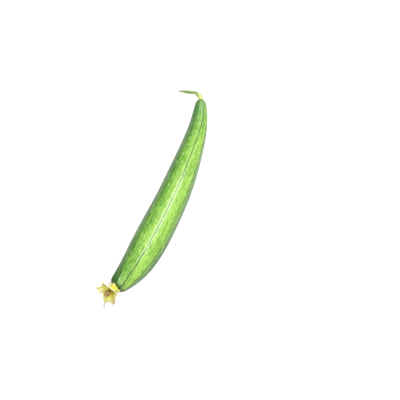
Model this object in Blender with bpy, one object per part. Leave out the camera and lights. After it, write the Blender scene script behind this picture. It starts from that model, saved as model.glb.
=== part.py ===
# Sponge gourd as picked, lying on its side, with its stem, the small leaf on the stem and the
# withered flower that still hangs on its far end. Metres, +Z up, resting on the plane Z = 0.
# The shape is worked out in the gourd's own frame: +X runs along the chord from the blossom end
# to the stem end, the fruit bows towards -Y, and the frame's start is under the blossom end.
# A parent empty then moves everything, so that the origin is under the middle of the outline.

from math import cos, pi, radians, sin, sqrt

import bmesh
import bpy
import numpy as np
from mathutils import Matrix, Vector

# Driving sizes of the fruit
FRUIT_LENGTH = 0.3295
FRUIT_RADIUS = 0.0237
FRUIT_BOW = 0.0222
BLOSSOM_LIFT = 0.010
STEM_LIFT = 0.008
SINK = 0.0008

# Where the underside leaves the floor, as shares of the length
BLOSSOM_LIFT_ENDS = 0.18
STEM_LIFT_STARTS = 0.68

# Girth along the fruit: (share of the length, share of the full radius)
GIRTH = (
    (0.0, 0.51),
    (0.07, 0.74),
    (0.12, 0.868),
    (0.175, 0.955),
    (0.24, 1.0),
    (0.40, 0.972),
    (0.53, 0.922),
    (0.67, 0.81),
    (0.80, 0.668),
    (0.90, 0.54),
    (0.97, 0.41),
    (1.0, 0.335),
)

# Sideways bow along the fruit: (share of the length, share of the full bow)
BOW = (
    (0.0, 0.0),
    (0.07, 0.41),
    (0.17, 0.74),
    (0.32, 0.93),
    (0.46, 1.0),
    (0.62, 0.92),
    (0.76, 0.755),
    (0.88, 0.495),
    (1.0, 0.0),
)

# Rounded ends: depth of the rounding and radius of the small flat face that is left
BLOSSOM_ROUNDING = 0.0065
BLOSSOM_FACE_RADIUS = 0.0064
STEM_ROUNDING = 0.009
STEM_FACE_RADIUS = 0.0043

# Lengthwise ribs, raised most near both ends
RIB_COUNT = 8
RIB_HEIGHT = 0.0003
RIB_HEIGHT_AT_ENDS = 0.0008
RIB_FADE = 4

# Turn of the first rib from straight up towards the bowed side: (share of the length, degrees)
RIB_TURN = (
    (0.0, 50.0),
    (0.03, 35.0),
    (0.08, 22.0),
    (0.17, 16.5),
    (0.33, 15.5),
    (0.57, 15.0),
    (0.72, 18.5),
    (0.86, 24.5),
    (1.0, 36.0),
)

# Gap between pieces that touch
GAP = 0.0003

# Edges where the faces meet at more than this are drawn sharp (degrees)
SHARP_ANGLE = 40.0

# Short way along a path, as a share of it, over which its direction is read
FRUIT_STEP = 0.002
PATH_STEP = 0.01

# Stem: route from the middle of the stem face, and its radii
STEM_ROUTE = (
    (0.0, 0.0, 0.0),
    (0.0050, 0.0028, 0.0012),
    (0.0088, 0.0101, 0.0040),
    (0.0072, 0.0156, 0.0056),
)
STEM_BASE_RADIUS = 0.0046
STEM_TIP_RADIUS = 0.0026

# Rolled leaf on the stem's end: route from the stem's end, half width and half thickness
LEAF_ROUTE = (
    (0.0, 0.0, 0.0),
    (-0.0017, 0.0042, 0.0009),
    (-0.0030, 0.0090, 0.0010),
    (-0.0052, 0.0244, 0.0001),

)
LEAF_HALF_WIDTH = 0.0033
LEAF_HALF_THICKNESS = 0.0024
LEAF_BASE_SHARE = 0.85
LEAF_WIDEST = 0.20
LEAF_TIP_SHARE = 0.12

# Withered flower, in its own frame: +Z out of the fruit, +X up
CALYX_HEIGHT = 0.0040
CALYX_BASE_RADIUS = 0.0060
CALYX_NECK_RADIUS = 0.0053
CALYX_FACE_RADIUS = 0.0049
CALYX_NECK_HEIGHT = 0.0018
LOBE_COUNT = 5
LOBE_RADIUS = 0.0058
LOBE_REACH = 0.0040

LOBE_BOTTOM = 0.0024
LOBE_THICKNESS = 0.0009
LOBE_DROOP = 0.0022
LOBE_SHARPNESS = 1.5

# Petals: length, then the lean out from the flower's axis at the base, middle and tip (degrees)
PETALS = (
    (0.0140, 42.0, 60.0, 95.0),
    (0.0190, 52.0, 40.0, 10.0),
    (0.0285, 24.0, 38.0, 76.0),
    (0.0180, 58.0, 46.0, 12.0),
    (0.0135, 45.0, 66.0, 105.0),
)
FIRST_PETAL_TURN = 35.0
SHRIVELLED_PETAL = 3
PETAL_START_HEIGHT = 0.0048
PETAL_START_RADIUS = 0.0042
PETAL_THICKNESS = 0.0012
PETAL_HALF_ANGLE = 31.5
PETAL_TIP_NARROWING = 0.6
PETAL_NARROWING_POWER = 4
TAIL_HALF_ANGLE = 2.2
TAIL_STARTS = 0.40
TAIL_THIN = 0.72
PETAL_RUFFLE = 0.0012
PETAL_WAVES = 3

# Pistil: style below, three joined stigmas above
STYLE_RADIUS = 0.0015
STIGMA_RADIUS = 0.0036
PISTIL_TOP = 0.0185
STYLE_SHARE = 0.34
STIGMA_COUNT = 3
STIGMA_DEPTH = 0.24
HEAD_SWELL_POWER = 0.8
HEAD_BLUNTNESS = 0.7

# Middle of the whole outline on the floor, in the gourd's own frame
OUTLINE_MIDDLE_X = 0.15767
OUTLINE_MIDDLE_Y = -0.00196

# Mesh fineness
FRUIT_SIDES = 40
FRUIT_RINGS = 45
STEM_SIDES = 12
STEM_RINGS = 14
LEAF_SIDES = 12
LEAF_RINGS = 12
CALYX_SIDES = 60
PETAL_ROWS = 11
PETAL_COLUMNS = 9
PISTIL_SIDES = 24
PISTIL_RINGS = 14


def remove_everything():
    for item in list(bpy.data.objects):
        bpy.data.objects.remove(item, do_unlink=True)


def linear(level):
    share = level / 255
    if share <= 0.04045:
        return share / 12.92
    return ((share + 0.055) / 1.055) ** 2.4


def make_material(name, red, green, blue, roughness):
    material = bpy.data.materials.new(name)
    material.use_nodes = True
    shader = material.node_tree.nodes["Principled BSDF"]
    colour = (linear(red), linear(green), linear(blue), 1.0)
    shader.inputs["Base Color"].default_value = colour
    shader.inputs["Roughness"].default_value = roughness
    shader.inputs["Metallic"].default_value = 0.0
    material.diffuse_color = colour
    return material


def fruit_material():
    return make_material("gourd_skin", 140, 190, 85, 0.38)


def stem_material():
    return make_material("stem_skin", 205, 218, 145, 0.6)


def leaf_material():
    return make_material("stem_leaf_green", 140, 170, 105, 0.6)


def calyx_material():
    return make_material("calyx_yellow_green", 196, 196, 96, 0.7)


def petal_material():
    return make_material("withered_petal", 230, 222, 150, 0.75)


def pistil_material():
    return make_material("withered_pistil", 140, 110, 75, 0.85)


def spline(points):
    """A function that follows a natural cubic spline through the (place, value) points."""
    places = np.array([point[0] for point in points])
    values = np.array([point[1:] for point in points])
    widths = np.diff(places)
    slopes = np.diff(values, axis=0) / widths[:, None]
    matrix = np.eye(len(places))
    right = np.zeros(values.shape)
    for i in range(1, len(places) - 1):
        matrix[i, i - 1] = widths[i - 1]
        matrix[i, i] = 2 * (widths[i - 1] + widths[i])
        matrix[i, i + 1] = widths[i]
        right[i] = 6 * (slopes[i] - slopes[i - 1])
    bends = np.linalg.solve(matrix, right)

    def value(place):
        i = int(np.clip(np.searchsorted(places, place) - 1, 0, len(widths) - 1))
        before = place - places[i]
        after = places[i + 1] - place
        width = widths[i]
        curve = bends[i] * after**3 / (6 * width) + bends[i + 1] * before**3 / (6 * width)
        start = (values[i] / width - bends[i] * width / 6) * after
        end = (values[i + 1] / width - bends[i + 1] * width / 6) * before
        return [float(number) for number in curve + start + end]

    return value


def route(points):
    """A function from 0..1 to a place on the smooth curve through the points."""
    steps = [0.0]
    for i in range(1, len(points)):
        steps.append(steps[-1] + (Vector(points[i]) - Vector(points[i - 1])).length)
    curve = spline([(steps[i] / steps[-1], *points[i]) for i in range(len(points))])
    return lambda place: Vector(curve(place))


girth = spline(GIRTH)
bow = spline(BOW)
rib_turn = spline(RIB_TURN)


def lift(place):
    """Height of the underside over the floor before the flat patch is pressed in."""
    blossom = max(0.0, 1 - place / BLOSSOM_LIFT_ENDS)
    stem = max(0.0, (place - STEM_LIFT_STARTS) / (1 - STEM_LIFT_STARTS))
    return BLOSSOM_LIFT * blossom**2 + STEM_LIFT * stem**2


def body_radius(place):
    return FRUIT_RADIUS * girth(place)[0]


def end_rounding(place, distance, depth, face_radius):
    """Share of the body radius that is left near an end, on a quarter ellipse."""
    face_share = face_radius / body_radius(place)
    if distance >= depth:
        return 1.0
    return face_share + (1 - face_share) * sqrt(1 - (1 - distance / depth) ** 2)


def fruit_radius(place):
    from_blossom = place * FRUIT_LENGTH
    from_stem = (1 - place) * FRUIT_LENGTH
    blossom = end_rounding(place, from_blossom, BLOSSOM_ROUNDING, BLOSSOM_FACE_RADIUS)
    stem = end_rounding(place, from_stem, STEM_ROUNDING, STEM_FACE_RADIUS)
    return body_radius(place) * blossom * stem


def midline(place):
    height = body_radius(place) - SINK + lift(place)
    return Vector((place * FRUIT_LENGTH, -FRUIT_BOW * bow(place)[0], height))


def fruit_axes(place):
    """Direction along the fruit, towards its bowed side, and up."""
    start = midline(max(0.0, place - FRUIT_STEP))
    end = midline(min(1.0, place + FRUIT_STEP))
    along = (end - start).normalized()
    side = along.cross(Vector((0, 0, 1))).normalized()
    return along, side, side.cross(along)


def rib_height(place):
    return RIB_HEIGHT + (RIB_HEIGHT_AT_ENDS - RIB_HEIGHT) * abs(2 * place - 1) ** RIB_FADE


def fruit_ring(place):
    centre = midline(place)
    _, side, up = fruit_axes(place)
    radius = fruit_radius(place)
    height = rib_height(place) * radius / body_radius(place)
    ring = []
    for i in range(FRUIT_SIDES):
        turn = 2 * pi * i / FRUIT_SIDES
        reach = radius - height * abs(sin(RIB_COUNT * turn / 2))
        angle = radians(rib_turn(place)[0]) + turn
        point = centre + reach * (cos(angle) * up + sin(angle) * side)
        point.z = max(0.0, point.z)
        ring.append(point)
    return ring


def add_object(name, mesh_builder, material, parent):
    """Write the bmesh into a smooth named object with faces pointing out."""
    bmesh.ops.recalc_face_normals(mesh_builder, faces=mesh_builder.faces)
    mesh = bpy.data.meshes.new(name)
    mesh_builder.to_mesh(mesh)
    mesh_builder.free()
    mesh.shade_smooth()
    mesh.set_sharp_from_angle(angle=radians(SHARP_ANGLE))
    mesh.materials.append(material)
    item = bpy.data.objects.new(name, mesh)
    bpy.context.scene.collection.objects.link(item)
    item.parent = parent
    return item


def add_empty(name, matrix, parent):
    empty = bpy.data.objects.new(name, None)
    bpy.context.scene.collection.objects.link(empty)
    empty.parent = parent
    empty.matrix_local = matrix
    return empty


def tube(rings):
    """Closed body through rings with equally many points, with a flat face at each end."""
    builder = bmesh.new()
    rows = [[builder.verts.new(point) for point in ring] for ring in rings]
    for first, second in zip(rows, rows[1:]):
        for i in range(len(first)):
            j = (i + 1) % len(first)
            builder.faces.new((first[i], first[j], second[j], second[i]))
    builder.faces.new(rows[0])
    builder.faces.new(rows[-1])
    return builder


def slab(front, back):
    """Closed body between two grids of points, joined all round their rims."""
    builder = bmesh.new()
    front_rows = [[builder.verts.new(point) for point in row] for row in front]
    back_rows = [[builder.verts.new(point) for point in row] for row in back]
    last_row = len(front) - 1
    last_column = len(front[0]) - 1
    for rows in (front_rows, back_rows):
        for i in range(last_row):
            for j in range(last_column):
                quad = (rows[i][j], rows[i][j + 1], rows[i + 1][j + 1], rows[i + 1][j])
                builder.faces.new(quad)
    for i in range(last_row):
        for j in (0, last_column):
            rim = (front_rows[i][j], front_rows[i + 1][j], back_rows[i + 1][j], back_rows[i][j])
            builder.faces.new(rim)
    for j in range(last_column):
        for i in (0, last_row):
            rim = (front_rows[i][j], front_rows[i][j + 1], back_rows[i][j + 1], back_rows[i][j])
            builder.faces.new(rim)
    return builder


def swept_rings(path, count, sides, half_width, half_height):
    """Oval rings along a path, square to it, level across."""
    rings = []
    for i in range(count):
        place = i / (count - 1)
        start = path(max(0.0, place - PATH_STEP))
        end = path(min(1.0, place + PATH_STEP))
        along = (end - start).normalized()
        across = along.cross(Vector((0, 0, 1))).normalized()
        up = across.cross(along)
        ring = []
        for j in range(sides):
            turn = 2 * pi * j / sides
            offset = half_width(place) * cos(turn) * across + half_height(place) * sin(turn) * up
            ring.append(path(place) + offset)
        rings.append(ring)
    return rings


def make_fruit(parent):
    """Rings crowd towards both ends, where the shape turns fastest."""
    places = [(1 - cos(pi * i / (FRUIT_RINGS - 1))) / 2 for i in range(FRUIT_RINGS)]
    rings = [fruit_ring(place) for place in places]
    return add_object("fruit", tube(rings), fruit_material(), parent)


def stem_path():
    """Route of the stem, which leaves the fruit's stem face square to it after a gap."""
    along, _, _ = fruit_axes(1.0)
    start = midline(1.0) + GAP * along
    return route([tuple(start + Vector(point)) for point in STEM_ROUTE])


def stem_radius(place):
    return STEM_BASE_RADIUS + (STEM_TIP_RADIUS - STEM_BASE_RADIUS) * place


def make_stem(parent):
    """The first ring lies on the fruit's stem face, a gap away from it."""
    rings = swept_rings(stem_path(), STEM_RINGS, STEM_SIDES, stem_radius, stem_radius)
    along, side, up = fruit_axes(1.0)
    centre = midline(1.0) + GAP * along
    for j in range(STEM_SIDES):
        turn = 2 * pi * j / STEM_SIDES
        rings[0][j] = centre + STEM_BASE_RADIUS * (cos(turn) * side + sin(turn) * up)
    return add_object("stem", tube(rings), stem_material(), parent)


def leaf_share(place):
    """Width along the leaf as a share of its widest, from the stem to the pointed tip."""
    if place < LEAF_WIDEST:
        rise = sin(pi / 2 * place / LEAF_WIDEST)
        return LEAF_BASE_SHARE + (1 - LEAF_BASE_SHARE) * rise
    fall = cos(pi / 2 * (place - LEAF_WIDEST) / (1 - LEAF_WIDEST))
    return LEAF_TIP_SHARE + (1 - LEAF_TIP_SHARE) * fall


def make_stem_leaf(parent):
    path = stem_path()
    direction = (path(1.0) - path(1.0 - PATH_STEP)).normalized()
    start = path(1.0) + 2 * GAP * direction
    leaf_path = route([tuple(start + Vector(point)) for point in LEAF_ROUTE])
    rings = swept_rings(
        leaf_path,
        LEAF_RINGS,
        LEAF_SIDES,
        lambda place: LEAF_HALF_THICKNESS * leaf_share(place),
        lambda place: LEAF_HALF_WIDTH * leaf_share(place),
    )
    return add_object("stem_leaf", tube(rings), leaf_material(), parent)


def lobe_share(turn):
    """1 on the middle of a calyx lobe, 0 halfway between two lobes."""
    half = pi / LOBE_COUNT
    from_lobe = (turn + half) % (2 * half) - half
    return max(0.0, cos(from_lobe * LOBE_COUNT / 2)) ** LOBE_SHARPNESS


def circle(radius, height, sides):
    turns = [2 * pi * i / sides for i in range(sides)]
    return [Vector((radius * cos(turn), radius * sin(turn), height)) for turn in turns]


def lobe_ring(height):
    """Star-shaped ring whose five points bend back towards the fruit."""
    ring = []
    for i in range(CALYX_SIDES):
        turn = 2 * pi * i / CALYX_SIDES
        share = lobe_share(turn)
        radius = LOBE_RADIUS + LOBE_REACH * share
        ring.append(Vector((radius * cos(turn), radius * sin(turn), height - LOBE_DROOP * share**2)))
    return ring


def make_calyx(parent):
    """Short cup whose rim spreads into five pointed lobes."""
    rings = [
        circle(CALYX_BASE_RADIUS, 0.0, CALYX_SIDES),
        circle(CALYX_NECK_RADIUS, CALYX_NECK_HEIGHT, CALYX_SIDES),
        lobe_ring(LOBE_BOTTOM),
        lobe_ring(LOBE_BOTTOM + LOBE_THICKNESS),
        circle(CALYX_FACE_RADIUS, CALYX_HEIGHT, CALYX_SIDES),
    ]
    return add_object("calyx", tube(rings), calyx_material(), parent)


def petal_half_angle(place, shrivelled):
    """The shrivelled petal stays wide at first, then narrows to a thin tail."""
    if shrivelled:
        share = min(1.0, max(0.0, (place - TAIL_STARTS) / (TAIL_THIN - TAIL_STARTS)))
        left = 1 - share * share * (3 - 2 * share)
        return radians(TAIL_HALF_ANGLE + (PETAL_HALF_ANGLE - TAIL_HALF_ANGLE) * left)
    return radians(PETAL_HALF_ANGLE * (1 - PETAL_TIP_NARROWING * place**PETAL_NARROWING_POWER))


def petal_point(height, radius, lean, turn, offset):
    """A point at a turn about the flower's axis, moved square to the petal by the offset."""
    height -= offset * sin(lean)
    radius += offset * cos(lean)
    return Vector((radius * cos(turn), radius * sin(turn), height))


def make_petal(number, parent):
    """A ruffled blade whose lean changes smoothly from its base to its tip."""
    length, base_lean, middle_lean, tip_lean = PETALS[number - 1]
    lean_at = spline(((0.0, base_lean), (0.5, middle_lean), (1.0, tip_lean)))
    shrivelled = number == SHRIVELLED_PETAL
    ruffle = 0.0 if shrivelled else PETAL_RUFFLE
    step = length / (PETAL_ROWS - 1)
    height = PETAL_START_HEIGHT
    radius = PETAL_START_RADIUS
    front = []
    back = []
    for i in range(PETAL_ROWS):
        place = i / (PETAL_ROWS - 1)
        lean = radians(lean_at(place)[0])
        half_angle = petal_half_angle(place, shrivelled)
        outside = []
        inside = []
        for j in range(PETAL_COLUMNS):
            across = 2 * j / (PETAL_COLUMNS - 1) - 1
            wave = ruffle * place**2 * cos(pi * PETAL_WAVES * across + number)
            spot = half_angle * across
            outside.append(petal_point(height, radius, lean, spot, wave + PETAL_THICKNESS / 2))
            inside.append(petal_point(height, radius, lean, spot, wave - PETAL_THICKNESS / 2))
        front.append(outside)
        back.append(inside)
        height += step * cos(lean)
        radius += step * sin(lean)
    item = add_object(f"petal_{number}", slab(front, back), petal_material(), parent)
    item.rotation_euler.z = radians(FIRST_PETAL_TURN + 360 / len(PETALS) * (number - 1))
    return item


def pistil_radius(place):
    """Thin style, then a rounded head of stigmas."""
    if place < STYLE_SHARE:
        return STYLE_RADIUS
    head = (place - STYLE_SHARE) / (1 - STYLE_SHARE)
    swell = sin(pi * head**HEAD_SWELL_POWER) ** HEAD_BLUNTNESS
    return STYLE_RADIUS + (STIGMA_RADIUS - STYLE_RADIUS) * swell


def make_pistil(parent):

    """The style stands on the calyx face, a gap above it."""
    bottom = CALYX_HEIGHT + GAP
    rings = []
    for i in range(PISTIL_RINGS):
        place = i / (PISTIL_RINGS - 1)
        height = bottom + (PISTIL_TOP - bottom) * place
        radius = pistil_radius(place)
        notch = STIGMA_DEPTH * (radius - STYLE_RADIUS) / (STIGMA_RADIUS - STYLE_RADIUS)
        ring = []
        for j in range(PISTIL_SIDES):
            turn = 2 * pi * j / PISTIL_SIDES
            reach = radius * (1 - notch * (1 - cos(STIGMA_COUNT * turn)) / 2)
            ring.append(Vector((reach * cos(turn), reach * sin(turn), height)))
        rings.append(ring)
    return add_object("pistil", tube(rings), pistil_material(), parent)


def flower_matrix():
    """The flower's frame: on the blossom face after a gap, +Z out of the fruit, +X up."""
    along, side, up = fruit_axes(0.0)
    start = midline(0.0) - GAP * along
    axes = Matrix((up, -side, -along)).transposed()
    return Matrix.Translation(start) @ axes.to_4x4()


def make_flower(parent):
    flower = add_empty("flower", flower_matrix(), parent)
    make_calyx(flower)
    for number in range(1, len(PETALS) + 1):
        make_petal(number, flower)
    make_pistil(flower)


def main():
    remove_everything()
    middle = Matrix.Translation((-OUTLINE_MIDDLE_X, -OUTLINE_MIDDLE_Y, 0.0))
    gourd = add_empty("gourd", middle, None)
    make_fruit(gourd)
    make_stem(gourd)
    make_stem_leaf(gourd)
    make_flower(gourd)


main()
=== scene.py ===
from math import cos, pi, radians, sin, sqrt

import bmesh
import bpy
import numpy as np
from bpy.props import FloatProperty, FloatVectorProperty, IntProperty, PointerProperty
from bpy.types import Operator, Panel, PropertyGroup
from mathutils import Matrix, Vector, noise


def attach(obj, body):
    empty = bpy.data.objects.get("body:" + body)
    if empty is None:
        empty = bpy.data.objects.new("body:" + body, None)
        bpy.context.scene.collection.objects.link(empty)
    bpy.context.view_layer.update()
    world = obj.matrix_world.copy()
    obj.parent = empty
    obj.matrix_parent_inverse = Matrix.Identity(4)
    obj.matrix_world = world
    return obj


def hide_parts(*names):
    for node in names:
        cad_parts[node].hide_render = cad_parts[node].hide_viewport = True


bl_info = {
    "name": "Sponge Gourd",
    "version": (1, 0, 0),
    "blender": (4, 5, 0),
    "location": "3D View > Sidebar > Gourd",
    "description": "Builds the skin, stem, rolled leaf and withered flower of a sponge gourd",
    "category": "Add Mesh",
}

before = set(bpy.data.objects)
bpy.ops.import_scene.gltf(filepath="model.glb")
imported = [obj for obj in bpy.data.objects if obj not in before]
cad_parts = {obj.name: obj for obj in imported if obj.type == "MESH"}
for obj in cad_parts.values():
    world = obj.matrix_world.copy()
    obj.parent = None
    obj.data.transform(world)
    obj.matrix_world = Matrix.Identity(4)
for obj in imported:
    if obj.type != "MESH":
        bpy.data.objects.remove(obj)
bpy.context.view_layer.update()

# The gourd's own frame starts under the blossom end; this is the middle of its outline there
OUTLINE_MIDDLE = Vector((0.15767, -0.00196, 0.0))

# Girth along the fruit: (share of the length, share of the full radius)
GIRTH = (
    (0.0, 0.51),
    (0.07, 0.74),
    (0.12, 0.868),
    (0.175, 0.955),
    (0.24, 1.0),
    (0.40, 0.972),
    (0.53, 0.922),
    (0.67, 0.81),
    (0.80, 0.668),
    (0.90, 0.54),
    (0.97, 0.41),
    (1.0, 0.335),
)

# Sideways bow along the fruit: (share of the length, share of the full bow)
BOW = (
    (0.0, 0.0),
    (0.07, 0.41),
    (0.17, 0.74),
    (0.32, 0.93),
    (0.46, 1.0),
    (0.62, 0.92),
    (0.76, 0.755),
    (0.88, 0.495),
    (1.0, 0.0),
)

# Turn of the first line from straight up towards the bowed side: (share of the length, degrees)
LINE_TURN = (
    (0.0, 50.0),
    (0.03, 35.0),
    (0.08, 22.0),
    (0.17, 16.5),
    (0.33, 15.5),
    (0.57, 15.0),
    (0.72, 18.5),
    (0.86, 24.5),
    (1.0, 36.0),
)

# How the fruit rests: lift of its ends, how far its belly is pressed flat, and where each starts
BLOSSOM_LIFT = 0.010
STEM_LIFT = 0.008
SINK = 0.0008
BLOSSOM_LIFT_ENDS = 0.18
STEM_LIFT_STARTS = 0.68

# Rounded ends: depth of the rounding and radius of the small face that the stem or flower covers
BLOSSOM_ROUNDING = 0.0065
BLOSSOM_FACE_RADIUS = 0.0064
STEM_ROUNDING = 0.009
STEM_FACE_RADIUS = 0.0043

# Pieces that grow out of each other start this far inside their neighbour
ROOT_DEPTH = 0.0007

# Stem: route from the middle of the stem face
STEM_ROUTE = (
    (0.0, 0.0, 0.0),
    (0.0050, 0.0028, 0.0012),
    (0.0088, 0.0101, 0.0040),
    (0.0072, 0.0156, 0.0056),
)
STEM_TWIST = 55.0

# Rolled leaf: route from the stem's end, and how its width swells and tapers
LEAF_ROUTE = (
    (0.0, 0.0, 0.0),
    (-0.0017, 0.0042, 0.0009),
    (-0.0030, 0.0090, 0.0010),
    (-0.0052, 0.0244, 0.0001),
)
LEAF_BASE_SHARE = 0.85
LEAF_WIDEST = 0.20
LEAF_TIP_SHARE = 0.07

# Calyx: a short cup whose rim spreads into pointed lobes
CALYX_HEIGHT = 0.0040
CALYX_BASE_RADIUS = 0.0060
CALYX_NECK_RADIUS = 0.0053
CALYX_FACE_RADIUS = 0.0049
CALYX_NECK_HEIGHT = 0.0018
LOBE_COUNT = 5
LOBE_RADIUS = 0.0058
LOBE_BOTTOM = 0.0024
LOBE_THICKNESS = 0.00054
LOBE_DROOP = 0.0022
LOBE_SHARPNESS = 1.0

# Petals: length, then the lean out from the flower's axis at the base, middle and tip (degrees)
PETALS = (
    (0.0140, 42.0, 60.0, 95.0),
    (0.0190, 52.0, 40.0, 10.0),
    (0.0285, 24.0, 38.0, 76.0),
    (0.0180, 58.0, 46.0, 12.0),
    (0.0135, 45.0, 66.0, 105.0),
)
FIRST_PETAL_TURN = 35.0
SHRIVELLED_PETAL = 3
PETAL_START_HEIGHT = 0.0042
PETAL_START_RADIUS = 0.0040
PETAL_HALF_ANGLE = 50.0
PETAL_SWIRL = 12.0
TAIL_HALF_ANGLE = 2.2
TAIL_STARTS = 0.40
TAIL_THIN = 0.72
CRUMPLE_SEED = 6

# Pistil: a thin style below, three joined stigmas above
STYLE_RADIUS = 0.0015
STIGMA_RADIUS = 0.0036
PISTIL_TOP = 0.0185
STYLE_SHARE = 0.34
STIGMA_COUNT = 3
STIGMA_DEPTH = 0.30

# Camera in the photograph's place, in the gourd's own frame
CAMERA_PLACE = Vector((-0.2994, -0.2261, 0.8689))
CAMERA_AIM = Vector((0.15965, -0.0599, 0.02325))
CAMERA_LENS = 63.0
SENSOR_WIDTH = 36.0

# Soft lights: the way to each from the lit middle, and its width along the fruit and its height
LIT_MIDDLE = Vector((0.0, 0.0, 0.02))
LIGHT_DISTANCE = 1.5
KEY_WAY = Vector((0.26, -0.30, 0.92))
KEY_SIZE = (1.5, 0.8)
FILL_WAY = Vector((-0.80, -0.20, 0.56))
FILL_SIZE = (1.4, 1.4)

# The floor lies this far under the gourd, clear of its belly
FLOOR_DROP = 0.0002


def paint(red, green, blue):
    """Linear colour of the 0 to 255 levels of a colour picker."""
    levels = []
    for level in (red, green, blue):
        share = level / 255
        levels.append(share / 12.92 if share <= 0.04045 else ((share + 0.055) / 1.055) ** 2.4)
    return tuple(levels)


def colour_setting(name, description, red, green, blue):
    return FloatVectorProperty(
        name=name,
        description=description,
        subtype="COLOR",
        size=3,
        min=0.0,
        max=1.0,
        default=paint(red, green, blue),
    )


def length_setting(name, description, default):
    return FloatProperty(
        name=name,
        description=description,
        default=default,
        min=0.0,
        unit="LENGTH",
        subtype="DISTANCE",
        precision=5,
    )


class GourdFruitSettings(PropertyGroup):
    """Sizes and colours of the fruit."""

    length: length_setting("Length", "Chord from the blossom end to the stem end", 0.3295)
    radius: length_setting("Radius", "Radius at the thickest place", 0.0237)
    bow: length_setting("Bow", "How far the middle bows to one side", 0.0222)
    lines: IntProperty(name="Lines", description="Lengthwise ribs, each with a line", default=8, min=3)
    rib_height: length_setting("Rib Height", "Height of the ribs at mid-length", 0.0004)
    end_rib_height: length_setting("End Rib Height", "Height of the ribs at both ends", 0.0011)
    groove_depth: length_setting("Groove Depth", "Depth of the groove along each line", 0.00018)
    groove_width: length_setting("Groove Width", "Half width of that groove", 0.0009)
    swelling: length_setting("Swelling", "Height of the uneven low swellings", 0.0005)
    skin_pale: colour_setting("Pale Skin", "Yellow-green streaks", 146, 187, 80)
    skin_middle: colour_setting("Skin", "Most of the skin", 98, 150, 50)
    # Deep green of the darker streaks, also used as painted shade on the flanks and in shaded bands
    skin_deep_and_shade: colour_setting("Deep Skin", "Darker streaks", 62, 114, 40)
    skin_blue: colour_setting("Neck Skin", "Bluish bloom near the stem", 124, 168, 110)
    # Colour of the lines, also used for a wedge of painted shade at the blossom end
    line_and_shade_colour: colour_setting("Line", "Thin lines along the ribs", 40, 74, 34)
    fleck_colour: colour_setting("Fleck", "Short pale dashes", 204, 230, 156)
    # Dark ends: partly the skin's own colour, partly painted shade in the joins and on the shaded left
    dark_end_and_shade_colour: colour_setting("End", "Dark skin next to the stem and the flower", 48, 78, 18)
    # Painted shade: the skin's green deepens from its lit face towards both flanks
    lit_face_turn: FloatProperty(name="Pale Face", description="Where round the fruit its palest face is",
                              default=0.20, subtype="ANGLE")
    flank_shade_tone: FloatProperty(name="Flank Tone", description="How much deeper the green of its flanks is",
                              default=0.12, min=0.0)


class GourdStemSettings(PropertyGroup):
    """Sizes and colours of the stem and of the rolled leaf on its end."""

    base_radius: length_setting("Base Radius", "Radius where the stem leaves the fruit", 0.0046)
    tip_radius: length_setting("Tip Radius", "Radius of the stem's other end", 0.0026)
    ridges: IntProperty(name="Ridges", description="Blunt ridges along the stem", default=5, min=3)
    ridge_height: length_setting("Ridge Height", "Height of those ridges", 0.00045)
    leaf_width: length_setting("Leaf Half Width", "Half width of the rolled leaf", 0.0033)
    leaf_thickness: length_setting("Leaf Half Thickness", "Half thickness of the roll", 0.0024)
    base_colour: colour_setting("Stem Base", "Yellowish base of the stem", 190, 202, 116)
    tip_colour: colour_setting("Stem Tip", "Grey-green end of the stem", 134, 150, 96)
    leaf_colour: colour_setting("Leaf", "Outside of the rolled leaf", 104, 138, 66)
    leaf_pale: colour_setting("Leaf Vein", "Midrib and veins", 160, 184, 118)
    leaf_tip: colour_setting("Leaf Tip", "Dry tip of the leaf", 120, 124, 96)


class GourdFlowerSettings(PropertyGroup):
    """Sizes and colours of the withered flower."""

    lobe_reach: length_setting("Lobe Reach", "How far the calyx lobes spread past the cup", 0.0040)
    petal_thickness: length_setting("Petal Thickness", "Thickness of a withered petal", 0.00028)
    pleat_depth: length_setting("Pleat Depth", "Depth of the lengthwise pleats", 0.0009)
    crumple: length_setting("Crumple", "How far the petals are crumpled out of shape", 0.0024)
    petal_yellow: colour_setting("Petal", "Yellow of the petals", 244, 240, 110)
    petal_cream: colour_setting("Petal Edge", "Cream of the dried edges", 246, 238, 190)
    # Olive of veins and mottling, also used as painted shade in the deep folds of the petals
    petal_olive_and_fold_shade: colour_setting("Petal Fold", "Olive of the deep folds", 188, 182, 92)
    petal_brown: colour_setting("Petal Spot", "Brown of the dead spots", 128, 92, 48)
    calyx_colour: colour_setting("Calyx", "Yellow-green of the calyx", 236, 234, 118)
    calyx_edge: colour_setting("Calyx Edge", "Dry edge of the lobes", 226, 214, 146)
    pistil_colour: colour_setting("Pistil", "Dry tan of the stigmas", 210, 176, 112)
    pistil_dark: colour_setting("Pistil Hollows", "Dark brown between the stigmas", 92, 60, 34)


class GourdStudioSettings(PropertyGroup):
    """Light, floor and surroundings."""

    key_power: FloatProperty(name="Key Light", description="Power of the large soft light",
                             default=37.5, min=0.0, unit="POWER")
    fill_power: FloatProperty(name="Fill Light", description="Power of the weaker light",
                              default=13.0, min=0.0, unit="POWER")
    surroundings: FloatProperty(name="Surroundings", description="Brightness of the white room",
                                default=0.25, min=0.0)
    floor_colour: colour_setting("Floor", "Colour of the plain floor", 160, 160, 160)
    floor_glow: FloatProperty(name="Floor Glow", description="Lightens the floor's shadows for the camera",
                              default=0.84, min=0.0)
    floor_size: length_setting("Floor Size", "Side of the square floor", 12.0)


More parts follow.
